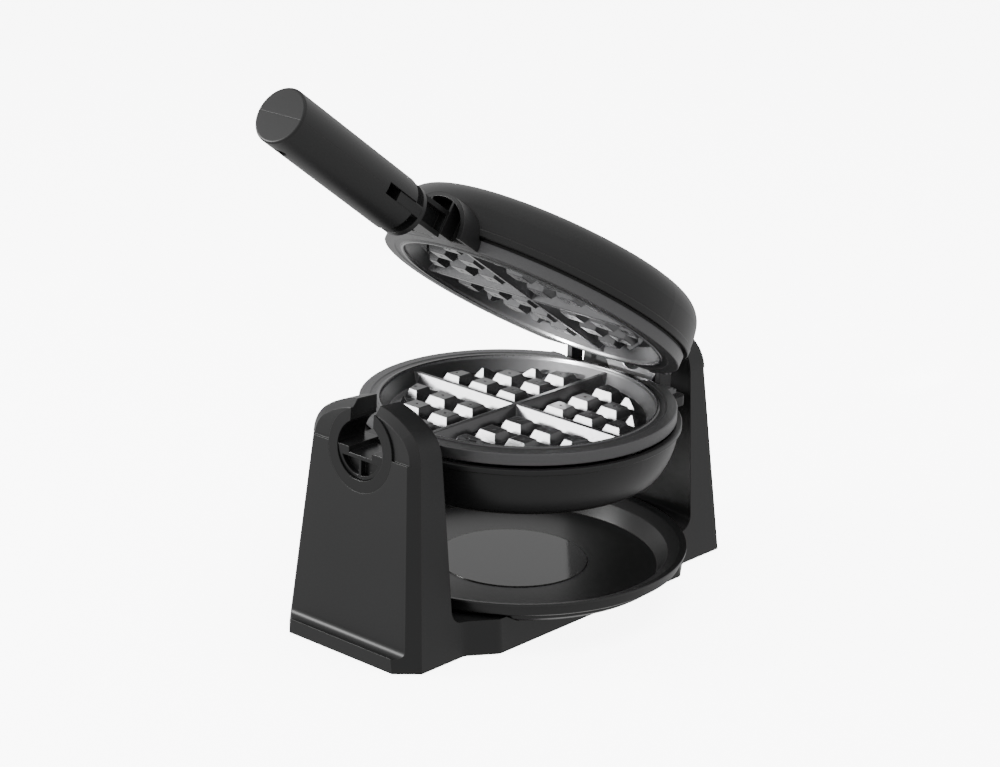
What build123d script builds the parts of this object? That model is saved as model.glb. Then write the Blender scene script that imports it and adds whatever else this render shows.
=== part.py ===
"""Rotating waffle maker: a round pair of waffle plates that turns between two towers.

Millimetres, Z up, the floor at z = 0 and the middle of the base at x = y = 0.
Y runs along the turning axis, from the handle end (-Y) to the hinge end (+Y).
Lid and handle are drawn closed, then swung open about the lid hinge.
"""
from build123d import *
from math import asin, atan, cos, degrees, hypot, radians, sin, sqrt
import os

# Turning axis, lid hinge and rest position
axis_z = 134.2
lid_rest_angle = 34.64
plate_gap = 1.0
hinge_rise = 15.8
hinge_y = 104.1
hinge_z = axis_z + hinge_rise

# Cast waffle plates
plate_radius = 105.0
plate_band = 7.8
plate_chord_y = 92.0
plate_sheet = 3.2
well_radius = 90.8
well_floor_radius = 85.0
well_depth = 10.0
well_lip_drop = 2.2
bead_radius = 92.2
bead_width = 2.0
bead_height = 0.8
rim_dip = 0.5
pattern_shift_y = -2.0
pyramid_pitch = 25.0
pyramid_first = 21.0
pyramid_rows = 3
pyramid_base = (18.0, 17.0)
pyramid_top = (13.0, 11.4)
pyramid_height = 6.3
pattern_radius = 79.0
dimple_radius = 1.1
dimple_depth = 0.8
divider_height = 7.4
divider_top = 3.0
divider_draft = 0.42
ear_x = (45.0, 53.0)
ear_reach = 9.0
front_lug = (9.0, 6.5, 5.0)

# Heater, shield and controls behind each plate
heater_ring_radius = 62.0
heater_tube_radius = 3.3
heater_gap_angle = 50.0
heater_boss_height = 4.5
post_circle = 74.0
post_radius = 4.5
post_length = 15.0
post_angles = (30.0, 150.0, 270.0)
shield_sheet = 1.0
shield_radius = 86.0
shield_rise = 6.0
thermostat_radius = 8.5
thermostat_height = 8.0
fuse_radius = 2.2
fuse_length = 16.0

# Screws
screw_radius = 1.9
screw_head_radius = 3.7
small_radius = 5.2
screw_head_height = 1.6
screw_boss_radius = 4.5
thread_depth = 10.0
seat_fit = 0.03
head_clearance = 0.4

# Lower housing
wall = 2.2
flange_reach = 3.5
flange_height = 3.8
plate_seat_gap = 2.0
bowl_depth = 36.6
bowl_corner_radius = 83.6
bowl_radii = (24.6, 11.5, 54.0)
bowl_turns = (-73.0, -34.8)
boss_radius = 25.5
boss_reach = 17.8
shelf_half = 54.0
shelf_reach = 20.0
shelf_height = 6.6
shelf_round = 5.0

# Lid housing
lid_flange_reach = 2.5
lid_flange_height = 4.8
dome_radii = (59.5, 19.7)
dome_turns = (12.8, 81.7)
dome_step = 0.8
lid_window_x = (31.6, 43.5)
lid_window_top = 7.5

# Front journal and its slotted bearing
journal_radius = 19.2
journal_clearance = 0.3
neck_half = 9.5
neck_clearance = 0.3
neck_top = 14.4
neck_bottom = -3.4
neck_rail = 3.0
neck_web = 3.5
bearing_wall = 2.5
collar_radius = 27.2
collar_thickness = 3.0
journal_pocket = 4.0
journal_setback = 0.5

# Rear trunnion
trunnion_radius = 12.0
trunnion_bore = 8.5
trunnion_fit = 0.05
trunnion_flange_radius = 17.0
trunnion_flange = 3.0
bush_wall = 3.0
bush_length = 10.0
bush_flange = 1.6
ring_groove = 1.0
ring_thickness = 1.4
ring_radius = 15.0

# Lid hinge
hinge_pin_radius = 2.5
hinge_fit = 0.05
hinge_eye_radius = 6.0
arm_x = (36.8, 41.0)
lid_lug_x = (32.2, 36.4)
bracket_sheet = 3.0

# Lid collar, handle bar and grip
drum_radius = 26.0
drum_wall = 3.0
drum_pocket = 12.0
disc_radius = 17.4
disc_thickness = 3.6
disc_gap = 2.6
handle_tilt = 1.1
grip_radius = 18.2
grip_wall = 2.6
grip_start = 7.8
grip_length = 121.0
grip_end_wall = 3.0
grip_end_round = 1.6
grip_slide = 7.0
tongue_reach = 24.5
tongue_half = 17.2
tongue_height = 7.3
tongue_clearance = 0.15
pocket_reach = 12.3
core_half = 7.0
core_height = 7.0
core_reach = 92.0

# Base towers
tower_play = 1.7
inner_lean = 0.029
side_at_axis = 46.35
side_lean = 0.092
foot_depth = 34.4
chamfer_foot = 7.45
front_lean = 0.066
front_edge_lean = 0.055
rear_lean = 0.098
rear_edge_lean = 0.092
arch_rise = 31.3
arch_corner = 24.0
arch_chamfer = 5.4
arch_chamfer_depth = 5.7
crescent_depth = 1.5
plinth_step = 5.7
plinth_height = 10.8
scoop_height = 4.9
shell_wall = 2.5
shell_bottom = 1.0
cover_thickness = 3.0
cover_gap = 0.2
cover_bottom = 18.0

# Deck, bottom plate and feet
deck_z = 24.0
deck_half = 72.0
deck_jog_y = (92.5, 111.5)
deck_round = 8.0
root_fillet = 10.0
foot_height = 2.0
foot_radius = 8.0
bottom_sheet = 2.0
bottom_gap = 0.6
inlet_z = 34.0
inlet_bore = 3.6
inlet_radius = 6.0
inlet_flange = 9.0
inlet_rim = 2.4

# Drip tray and its dish in the deck
tray_clearance = 0.4
tray_bottom = 18.0
tray_sheet = 1.6
tray_floor_radius = 97.0
tray_pad_radius = 50.5
tray_pad_rise = 0.5
tray_foot_radius = 103.0
tray_cone = (10.0, 7.5)
tray_wall_radius = 113.0
tray_wall_height = 15.0
tray_lip_radius = 116.2
tray_height = 17.1
tray_inner = (103.7, 12.0)

# Heights worked out from the sizes above
seam_z = axis_z - 1.3
rim_z = seam_z - plate_gap / 2
band_z = rim_z - plate_band
floor_z = rim_z - well_depth
plate_back_z = floor_z - plate_sheet
flange_z = band_z - plate_seat_gap
flange_radius = plate_radius + flange_reach
bowl_bottom_z = flange_z - bowl_depth - 0.5
post_end_z = plate_back_z - post_length
shield_z = post_end_z - shield_sheet
boss_front_y = plate_radius + boss_reach
inner_at_axis = boss_front_y + tower_play
face_foot = inner_at_axis + foot_depth
plinth_front = face_foot + plinth_step
front_face_at_axis = face_foot - front_lean * axis_z
ring_bore = journal_radius + journal_clearance
slot_half = neck_half + neck_clearance
channel_floor_z = axis_z + neck_bottom - neck_clearance
big = 400.0
root = 1.0


def inner_y(z):
    """Distance of a tower's inner face from the middle at height z."""
    return inner_at_axis + inner_lean * (z - axis_z)


def side_half(z):
    """Half width of a tower at height z."""
    return side_at_axis + side_lean * (axis_z - z)


def lathe(*points):
    """Ring or disc turned about Z from (radius, height) corners."""
    outline = Polyline(*points, close=True)
    return revolve(Plane.XZ * make_face(outline), Axis.Z)


def smooth_arcs(center, start, arcs):
    """Arcs that run on smoothly from each other, from (radius, end angle) pairs and the first centre."""
    x, y = center
    edges = []
    last = arcs[0][0]
    for radius, end in arcs:
        x += (last - radius) * cos(radians(start))
        y += (last - radius) * sin(radians(start))
        edges.append(CenterArc((x, y), radius, start, end - start))
        start = end
        last = radius
    return edges


def block(x, y, z):
    """Box from three (low, high) pairs."""
    size = (x[1] - x[0], y[1] - y[0], z[1] - z[0])
    corner = Location((x[0], y[0], z[0]))
    return corner * Box(*size, align=(Align.MIN, Align.MIN, Align.MIN))


def rounded(radius):
    """Section of a rod: a circle, or eight flats where it is as small as a screw or its boss."""
    return Circle(radius) if radius > small_radius else RegularPolygon(radius, 8)


def rod_z(x, y, radius, z_low, z_high):
    """Upright rod."""
    return Location((x, y, z_low)) * extrude(rounded(radius), z_high - z_low)


def rod_y(radius, y_low, y_high, x=0.0, z=axis_z):
    """Rod along Y, by default on the turning axis."""
    plane = Plane(origin=(x, y_low, z), x_dir=(1, 0, 0), z_dir=(0, 1, 0))
    return extrude(plane * rounded(radius), y_high - y_low)


def rod_x(radius, x_low, x_high, y=hinge_y, z=hinge_z):
    """Cylinder along X, by default on the lid hinge."""
    plane = Plane(origin=(x_low, y, z), x_dir=(0, 1, 0), z_dir=(1, 0, 0))
    return extrude(plane * Circle(radius), x_high - x_low)


def upside(shape, level):
    """Mirror a shape top to bottom about a level."""
    return mirror(shape, about=Plane.XY.offset(level))


def front(shape):
    """Mirror a shape from the hinge end to the handle end."""
    return mirror(shape, about=Plane.XZ)


def keep_below(shape, point, normal):
    """Cut off what lies beyond a plane, on the side its normal points to."""
    return split(shape, bisect_by=Plane(origin=point, z_dir=normal), keep=Keep.BOTTOM)


def swing_open(shape):
    """Turn a closed lid part to where the lid stands open."""
    return shape.rotate(Axis((0, hinge_y, hinge_z), (1, 0, 0)), -lid_rest_angle, transform=True)


def screw(length):
    """Screw along Z, its head under z = 0 and its shank above."""
    return rod_z(0, 0, screw_head_radius, -screw_head_height, 0) + rod_z(0, 0, screw_radius, 0, length)


# Towers: one outline along Y, trimmed by the leaning sides and corner chamfers
def tower_profile(lean, inset, top):
    """Tower in side view: deck fillet, inner face, outer face, scoop and plinth."""
    fillet_y = inner_y(deck_z + root_fillet) - root_fillet
    root_y = fillet_y + 0.8
    turn = root_fillet + inset
    bend = (fillet_y + turn * sin(radians(45)), deck_z + root_fillet - turn * cos(radians(45)))
    start_rise = turn - sqrt(turn ** 2 - (root_y - fillet_y) ** 2)
    scoop_z = plinth_height + scoop_height
    scoop_y = face_foot - lean * scoop_z - inset
    plinth_y = plinth_front - inset
    low = shell_bottom if inset == 0 else -1.0
    foot = (root_y, low)
    deck_edge = (root_y, deck_z - inset + start_rise)
    rise = (inner_y(deck_z + root_fillet) + inset, deck_z + root_fillet)
    inner_top = (inner_y(top) + inset, top)
    outer_top = (face_foot - lean * top - inset, top)
    scoop_end = (scoop_y, scoop_z)
    plinth_top = (plinth_y, plinth_height - inset)
    reach = plinth_y - scoop_y
    drop = scoop_z - plinth_top[1]
    radius = (reach ** 2 + drop ** 2) / (2 * reach)
    half_turn = (180 + degrees(atan(drop / (reach - radius))) % 180 + 180) / 2
    scoop_mid = (scoop_y + radius + radius * cos(radians(half_turn)),
                 scoop_z + radius * sin(radians(half_turn)))
    edges = [Line(foot, deck_edge), ThreePointArc(deck_edge, bend, rise), Line(rise, inner_top),
             Line(inner_top, outer_top), Line(outer_top, scoop_end)]
    if inset == 0:
        edges.append(ThreePointArc(scoop_end, scoop_mid, plinth_top))
    else:
        edges.append(Line(scoop_end, plinth_top))
    edges += [Line(plinth_top, (plinth_y, low)), Line((plinth_y, low), foot)]
    return make_face(Plane.YZ * Curve(edges))


def arch_outline(inset, plane):
    """Arch seen from the end: upright sides that round into a flatter top arc."""
    center_x = side_at_axis - arch_corner
    top_radius = (center_x ** 2 + arch_rise ** 2 - arch_corner ** 2) / (2 * (arch_rise - arch_corner))
    center_y = arch_rise - top_radius
    lean_x = center_x / (top_radius - arch_corner)
    lean_y = -center_y / (top_radius - arch_corner)
    corner = arch_corner - inset
    meet = (center_x + corner * lean_x, corner * lean_y)
    half = degrees(atan(lean_y / lean_x)) / 2
    middle = (center_x + corner * cos(radians(half)), corner * sin(radians(half)))
    base = center_x + corner
    top = (0, arch_rise - inset)
    edges = [Line((-base, 0), (base, 0)), ThreePointArc((base, 0), middle, meet),
             ThreePointArc(meet, top, (-meet[0], meet[1])),
             ThreePointArc((-meet[0], meet[1]), (-middle[0], middle[1]), (-base, 0))]
    return plane * make_face(Curve(edges))


def arch_block(lean, inset, recess):
    """Rounded tower head with its chamfered rim, set back from the face by the recess."""
    face = Plane(origin=(0, face_foot - lean * axis_z, axis_z), x_dir=(-1, 0, 0), z_dir=(0, 1, lean))
    rim_depth = recess + inset
    full_depth = arch_chamfer_depth + inset * 0.4
    rim = loft([arch_outline(arch_chamfer + inset, face.offset(-rim_depth)),
                arch_outline(inset, face.offset(-full_depth))], ruled=True)
    head = extrude(arch_outline(inset, face.offset(-full_depth)), -foot_depth)
    inner = (0, inner_y(axis_z) + inset, axis_z)
    return keep_below(rim + head, inner, (0, -1, inner_lean))


def tower(lean, edge_lean, inset=0.0, recess=0.0):
    """Whole tower at the +Y end; an inset makes the hollow inside it."""
    column = extrude(tower_profile(lean, inset, axis_z), side_half(0) + 5, both=True)
    for side in (-1, 1):
        flank = (side * (side_half(0) - inset), 0, 0)
        column = keep_below(column, flank, (side, 0, side_lean))
        edge = (side * (side_half(0) - inset * 0.414), face_foot - chamfer_foot - inset, 0)
        column = keep_below(column, edge, (side, 1, side_lean + edge_lean))
    return column + arch_block(lean, inset, recess)


def deck_outline(inset=0.0):
    """Deck in plan: wider in the middle, jogged in to the towers."""
    narrow = side_half(0) - inset
    wide = deck_half - inset
    end = inner_at_axis + 2 - inset
    near, far = deck_jog_y
    corners = [(wide, -near), (wide, near), (narrow, far), (narrow, end),
               (-narrow, end), (-narrow, far), (-wide, near), (-wide, -near),
               (-narrow, -far), (-narrow, -end), (narrow, -end), (narrow, -far)]
    plan = make_face(Polyline(*corners, close=True))
    jogs = [v for v in plan.vertices() if abs(v.Y) < far + 1]
    return fillet(jogs, deck_round)


def dish(clearance):
    """Space of the drip tray's foot and cone, grown by a clearance."""
    foot = tray_foot_radius + clearance
    top = foot + tray_cone[0] / tray_cone[1] * (deck_z + 5 - tray_bottom - 1)
    return ((0, tray_bottom), (foot - 1.5, tray_bottom), (foot, tray_bottom + 1),
            (top, deck_z + 5), (0, deck_z + 5))


boss_spots = [(sx * 51.0, sy * (inner_at_axis + 11)) for sx in (-1, 1) for sy in (-1, 1)]
boss_spots += [(sx * (deck_half - 7.5), sy * 40.0) for sx in (-1, 1) for sy in (-1, 1)]
cover_spots = [(sx * x, z) for sx in (-1, 1) for x, z in ((38.0, 46.0), (27.0, 136.0))]
bottom_z = foot_height + bottom_sheet


def rear_face_y(z):
    """Outer face of the rear tower at height z."""
    return face_foot - rear_lean * z


inlet_plane = Plane(origin=(0, rear_face_y(inlet_z), inlet_z), x_dir=(1, 0, 0), z_dir=(0, 1, rear_lean))


def base_shell():
    """Moulded base: deck with its dish, two hollow towers, bearing housings and bosses."""
    front_tower = front(tower(front_lean, front_edge_lean, recess=crescent_depth))
    rear_tower = tower(rear_lean, rear_edge_lean)
    taper = degrees(atan(side_lean))
    deck = extrude(deck_outline(), deck_z, taper=taper)
    deck -= block((-big, big), (-big, big), (-1, shell_bottom))
    shell = front_tower + rear_tower + deck

    # Dish for the tray, opened straight towards -X so that the tray slides out there
    profile = dish(tray_clearance)
    shell -= lathe(*profile)
    half = [(r, z) for r, z in profile[1:-1]]
    channel = make_face(Plane.YZ * Polyline(*half, *[(-r, z) for r, z in reversed(half)], close=True))
    shell -= extrude(channel, -big)

    # Hollows, open below, that leave the bearing housing, slot walls and rear boss standing
    front_hollow = front(tower(front_lean, front_edge_lean, shell_wall, crescent_depth))
    housing_radius = ring_bore + 2 * bearing_wall
    front_hollow -= rod_y(housing_radius, -big, 0)
    front_hollow -= rod_y(collar_radius + shell_wall, -big, -front_face_at_axis + collar_thickness + shell_wall)
    slot_wall = slot_half + shell_wall
    front_hollow -= block((-slot_wall, slot_wall), (-big, 0), (axis_z, big))
    rear_hollow = tower(rear_lean, rear_edge_lean, shell_wall)
    boss_outer = trunnion_radius + trunnion_fit + bush_wall + shell_wall
    rear_hollow -= rod_y(boss_outer, 0, inner_at_axis + bush_length)
    for x, z in cover_spots:
        rear_hollow -= rod_y(screw_boss_radius, 0, big, x, z)
    for x, y in boss_spots[:4]:
        post = rod_z(x, y, screw_boss_radius, bottom_z, bottom_z + 34)
        front_hollow -= post
        rear_hollow -= post
    ceiling = tray_bottom - shell_wall
    deck_hollow = extrude(deck_outline(shell_wall), ceiling, taper=taper)
    deck_hollow += Location((0, 0, -2)) * extrude(deck_outline(shell_wall), 3)
    for x, y in boss_spots:
        deck_hollow -= rod_z(x, y, screw_boss_radius, bottom_z, big)
    shell -= front_hollow
    shell -= rear_hollow
    shell -= deck_hollow

    # Front bearing seat with its slot, rear bush seat, cover opening and screw holes
    shell -= rod_y(ring_bore + bearing_wall + seat_fit, -big, 0)
    shell -= rod_y(collar_radius + seat_fit, -big, -front_face_at_axis + collar_thickness)
    shell -= block((-slot_half, slot_half), (-big, 0), (axis_z, big))
    shell -= rod_y(trunnion_radius + trunnion_fit + bush_wall + seat_fit, 0, big)
    cover_plane = (0, rear_face_y(0) - cover_thickness - cover_gap, 0)
    behind = block((-big, big), (0, big), (cover_bottom - cover_gap, big))
    shell -= behind - keep_below(behind, cover_plane, (0, 1, rear_lean))
    for x, z in cover_spots:
        shell -= rod_y(screw_radius + seat_fit, rear_face_y(z) - cover_thickness - thread_depth, big, x, z)
    for x, y in boss_spots:
        shell -= rod_z(x, y, screw_radius + seat_fit, 0, bottom_z + thread_depth)
    return shell


def rear_tower_cover():
    """Back panel that closes the rear tower, with screw counterbores and the cord hole."""
    whole = tower(rear_lean, rear_edge_lean)
    whole -= block((-big, big), (-big, big), (-1, cover_bottom))
    cover = whole - keep_below(whole, (0, rear_face_y(0) - cover_thickness, 0), (0, 1, rear_lean))
    for x, z in cover_spots:
        cover -= rod_y(screw_radius + 0.3, 0, big, x, z)
        cover -= rod_y(screw_head_radius + head_clearance, rear_face_y(z) - cover_thickness / 2, big, x, z)
    return cover - extrude(inlet_plane * Circle(inlet_radius + seat_fit), 2 * cover_thickness, both=True)


def rear_cover_screws():
    """Four screws that hold the back panel."""
    screws = []
    for x, z in cover_spots:
        seat = Plane(origin=(x, rear_face_y(z) - cover_thickness / 2, z), x_dir=(1, 0, 0), z_dir=(0, -1, 0))
        screws.append(seat * screw(cover_thickness / 2 + thread_depth - 1))
    return screws


def cord_inlet_bush():
    """Grommet in the back panel, flanged on both sides."""
    inside = inlet_plane.offset(-cover_thickness)
    bush = extrude(inside * Circle(inlet_radius), cover_thickness)
    bush += extrude(inlet_plane * Circle(inlet_flange), inlet_rim)
    bush += extrude(inside * Circle(inlet_flange - 1), -inlet_rim)
    return bush - extrude(inlet_plane * Circle(inlet_bore), 2 * cover_thickness + inlet_rim, both=True)


def base_bottom_plate():
    """Flat plate that closes the base from below."""
    inset = shell_wall + bottom_gap
    plate = extrude(deck_outline(inset), bottom_sheet)
    for flip in (False, True):
        end = tower(front_lean, front_edge_lean, inset)
        end = extrude(section(end, Plane.XY.offset(1.0)), bottom_sheet)
        end = Location((0, 0, -1.0)) * end
        plate += front(end) if flip else end
    plate = Location((0, 0, foot_height)) * plate
    for x, y in boss_spots:
        plate -= rod_z(x, y, screw_radius + 0.3, 0, bottom_z)
    return plate


def base_screws():
    """Eight screws up through the bottom plate into the base's bosses."""
    length = bottom_sheet + thread_depth - 1
    return [Location((x, y, foot_height)) * screw(length) for x, y in boss_spots]


def rubber_feet():
    """Four round pads under the towers."""
    y = face_foot - foot_radius - 1
    x = side_half(0) - foot_radius - 6.5
    pad = rod_z(0, 0, foot_radius, 0, foot_height)
    return [Location((sx * x, sy * y, 0)) * pad for sx in (-1, 1) for sy in (-1, 1)]


def front_bearing_ring():
    """Slotted bearing insert: tube with a collar flush with the tower's face, open at the top."""
    face = Plane(origin=(0, -front_face_at_axis, axis_z), x_dir=(1, 0, 0), z_dir=(0, -1, front_lean))
    ring = rod_y(ring_bore + bearing_wall, -front_face_at_axis - 5, -inner_at_axis - 1)
    ring += rod_y(collar_radius, -front_face_at_axis - 5, -front_face_at_axis + collar_thickness)
    ring -= rod_y(ring_bore, -big, 0)
    ring -= block((-slot_half, slot_half), (-big, 0), (axis_z, big))
    ring = keep_below(ring, (0, -front_face_at_axis, axis_z), (0, -1, front_lean))
    return keep_below(ring, (0, -inner_at_axis, axis_z), (0, 1, inner_lean))


def rear_bearing_bush():
    """Plain bush for the rear trunnion, flanged inside the tower."""
    bore = trunnion_radius + trunnion_fit
    end = inner_at_axis + bush_length
    bush = rod_y(bore + bush_wall, inner_at_axis + 1, end)
    bush += rod_y(bore + bush_wall + 2, end, end + bush_flange)
    return bush - rod_y(bore, 0, big)


def drip_tray():
    """Round tray: raised pad, sloped inner wall, flared lip and a cored outer skirt."""
    floor_top = tray_bottom + tray_sheet
    lip_z = tray_bottom + tray_height
    skirt = tray_wall_radius
    cone_top = tray_bottom + 1 + tray_cone[1]
    wall_top = tray_bottom + tray_wall_height
    tray = lathe((0, tray_bottom), (tray_foot_radius - 1.5, tray_bottom), (tray_foot_radius, tray_bottom + 1),
                 (skirt, cone_top), (skirt, wall_top), (tray_lip_radius, wall_top + 0.6),
                 (tray_lip_radius, lip_z), (skirt - 1.5, lip_z - 1.2), (tray_inner[0], tray_bottom + tray_inner[1]),
                 (tray_floor_radius, floor_top), (tray_pad_radius, floor_top),
                 (tray_pad_radius, floor_top + tray_pad_rise), (0, floor_top + tray_pad_rise))
    core_in = tray_inner[0] + tray_sheet
    core_out = skirt - tray_sheet
    core = lathe((core_in, tray_bottom), (core_out, tray_bottom), (core_out, wall_top - tray_sheet),
                 (core_out - 2, wall_top - tray_sheet), (core_in, tray_bottom + tray_inner[1] - tray_sheet))
    return tray - core


# Waffle plate, drawn as the lower one; the lid's is its mirror image
def pyramid(x, y):
    """Drafted block with a dimple in its flat top."""
    low = Plane.XY.offset(floor_z - root)
    top = Plane.XY.offset(floor_z + pyramid_height)
    spread = (pyramid_height + root) / pyramid_height
    foot = [narrow + (wide - narrow) * spread for wide, narrow in zip(pyramid_base, pyramid_top)]
    body = loft([low * Rectangle(*foot), top * Rectangle(*pyramid_top)], ruled=True)
    body -= rod_z(0, 0, dimple_radius, floor_z + pyramid_height - dimple_depth, big)
    return Location((x, y, 0)) * body


def divider(length, along_y):
    """Straight drafted wall between two quarters of the pattern."""
    half = divider_top / 2
    foot = half + divider_draft * (divider_height + root)
    section_outline = Polyline((-foot, floor_z - root), (foot, floor_z - root), (half, floor_z + divider_height),
                               (-half, floor_z + divider_height), close=True)
    wall_face = make_face((Plane.XZ if along_y else Plane.YZ) * section_outline)
    return extrude(wall_face, length, both=True)


def waffle_pattern():
    """Thirty-two drafted blocks in four quarters, the outer ones cut short by a drafted circle."""
    blocks = []
    for i in range(pyramid_rows):
        for j in range(pyramid_rows):
            x = pyramid_first + i * pyramid_pitch
            y = pyramid_first + j * pyramid_pitch
            if hypot(x, y) < pattern_radius + pyramid_base[0] / 2:
                blocks += [pyramid(sx * x, sy * y) for sx in (-1, 1) for sy in (-1, 1)]
    shift = Location((0, pattern_shift_y, 0))
    draft = (pyramid_base[0] - pyramid_top[0]) / 2 / pyramid_height
    bounds = lathe((0, floor_z - root), (pattern_radius + draft * root, floor_z - root),
                   (pattern_radius - draft * pyramid_height, floor_z + pyramid_height), (0, floor_z + pyramid_height))
    blocks = [shift * block_solid & bounds for block_solid in blocks]
    walls = shift * (divider(2 * well_radius, True) + divider(2 * well_radius, False))
    return (walls & rod_z(0, 0, well_radius + root, floor_z - root, rim_z)) + blocks


def waffle_plate():
    """Cast plate: rim band, bead, drafted well, waffle pattern, chord, ears and back features."""
    lip_z = rim_z - well_lip_drop
    bead_in = bead_radius - bead_width / 2
    bead_out = bead_radius + bead_width / 2
    outer_wall = well_radius + plate_sheet
    plate = lathe((0, floor_z), (well_floor_radius, floor_z), (well_radius, lip_z), (bead_in, rim_z - rim_dip),
                  (bead_in + 0.4, rim_z - rim_dip + bead_height), (bead_out - 0.4, rim_z - rim_dip + bead_height),
                  (bead_out, rim_z - rim_dip), (plate_radius - 8, rim_z - rim_dip), (plate_radius - 7, rim_z),
                  (plate_radius - 0.6, rim_z), (plate_radius, rim_z - 0.6), (plate_radius, band_z),
                  (outer_wall, band_z), (well_floor_radius + 2, plate_back_z), (0, plate_back_z))
    plate -= block((-big, big), (plate_chord_y, big), (0, big))
    plate += waffle_pattern()
    for side in (-1, 1):
        low, high = sorted((side * ear_x[0], side * ear_x[1]))
        start = plate_chord_y - 8
        plate += block((low, high), (start, plate_chord_y + ear_reach * 0.6), (band_z + 1.5, rim_z - 1.5))
        plate += block((low, high), (start, plate_chord_y + ear_reach), (band_z + 1.5, band_z + 4.5))
    lug_half, lug_reach, lug_height = front_lug
    plate += block((-lug_half, lug_half), (-plate_radius - lug_reach, -plate_radius + 4), (rim_z - lug_height, rim_z))
    ring_z = plate_back_z - heater_boss_height
    ring_low = heater_ring_radius - 5
    ring_high = heater_ring_radius + 5
    plate += lathe((ring_low, ring_z), (ring_high, ring_z), (ring_high, plate_back_z + 1), (ring_low, plate_back_z + 1))
    groove = Plane.XZ * Location((heater_ring_radius, ring_z)) * rounded(heater_tube_radius + seat_fit)
    plate -= revolve(groove, Axis.Z)
    for angle in post_angles:
        x = post_circle * cos(radians(angle))
        y = post_circle * sin(radians(angle))
        plate += rod_z(x, y, post_radius, post_end_z, plate_back_z + 1)
        plate -= rod_z(x, y, screw_radius + seat_fit, post_end_z - 1, post_end_z + thread_depth)
    return plate


def heater():
    """Tubular element: most of a ring in the plate's groove, with a terminal at each end."""
    ring_z = plate_back_z - heater_boss_height
    ring = Plane.XZ * Location((heater_ring_radius, ring_z)) * rounded(heater_tube_radius)
    start = 90 + heater_gap_angle / 2
    tube = revolve(ring, Axis.Z, revolution_arc=360 - heater_gap_angle)
    tube = tube.rotate(Axis.Z, start)
    for side in (-1, 1):
        angle = radians(90 + side * (heater_gap_angle / 2 + 1.5))
        x = heater_ring_radius * cos(angle)
        y = heater_ring_radius * sin(angle)
        tube += rod_z(x, y, heater_tube_radius * 0.5, ring_z - 10, ring_z)
    return tube


def heat_shield():
    """Pressed reflector pan that rests on the plate's posts."""
    top_z = post_end_z
    rim = shield_radius
    slope = shield_rise
    shield = lathe((0, shield_z), (rim - slope, shield_z), (rim, shield_z + slope), (rim, shield_z + slope + 1.2),
                   (rim - slope - 0.5, top_z), (0, top_z))
    for angle in post_angles:
        x = post_circle * cos(radians(angle))
        y = post_circle * sin(radians(angle))
        shield -= rod_z(x, y, screw_radius + 0.2, 0, big)
    return shield


def thermostat():
    """Bimetal thermostat on the back of the lower plate, with its two tabs."""
    low = plate_back_z - thermostat_height
    body = rod_z(0, 0, thermostat_radius, low, plate_back_z)
    body += rod_z(0, 0, thermostat_radius + 3, plate_back_z - 1.2, plate_back_z)
    for side in (-1, 1):
        body += block((side * 4 - 1.2, side * 4 + 1.2), (-3, 3), (low - 4, low))
    return body


def thermal_fuse():
    """Fuse in its sleeve, clipped against the back of the lower plate."""
    y = 28.0
    z = plate_back_z - fuse_radius - 0.6
    fuse = rod_x(fuse_radius, -fuse_length / 2, fuse_length / 2, y, z)
    fuse += rod_x(fuse_radius * 0.4, -fuse_length / 2 - 6, fuse_length / 2 + 6, y, z)
    return fuse + block((-3, 3), (y - fuse_radius - 0.6, y + fuse_radius + 0.6), (z - 0.5, plate_back_z))


trunnion_screw_spots = [(side * 11.0, axis_z - boss_radius + 11.0) for side in (-1, 1)]
bracket_screw_x = (-22.0, 22.0)


def bowl(inset, top):
    """Lower housing's outer form, moved in by an inset and closed at a top level."""
    radii = [radius - inset for radius in bowl_radii]
    low_turn, mid_turn = bowl_turns
    center_z = bowl_bottom_z + bowl_radii[0]
    mid_z = center_z + (radii[0] - radii[1]) * sin(radians(low_turn))
    high_z = mid_z + (radii[1] - radii[2]) * sin(radians(mid_turn))
    last_turn = degrees(asin((flange_z - flange_height - high_z) / radii[2]))
    curves = smooth_arcs((bowl_corner_radius, center_z), -90,
                         [(radii[0], low_turn), (radii[1], mid_turn), (radii[2], last_turn)])
    start = curves[0] @ 0
    end = curves[-1] @ 1
    edges = [Line((0, start.Y), (start.X, start.Y)), *curves, Line((end.X, end.Y), (end.X, top)),
             Line((end.X, top), (0, top)), Line((0, top), (0, start.Y))]
    return revolve(Plane.XZ * make_face(Curve(edges)), Axis.Z)


def rear_shelf():
    """Ledge behind the bowl that carries the hinge bracket."""
    plan = make_face(Polyline((-shelf_half, 70), (shelf_half, 70), (shelf_half, plate_chord_y + shelf_reach),
                              (-shelf_half, plate_chord_y + shelf_reach), close=True))
    outer = [v for v in plan.vertices() if v.Y > 80]
    plan = fillet(outer, shelf_round)
    return Location((0, 0, flange_z - shelf_height)) * extrude(plan, shelf_height)


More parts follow.
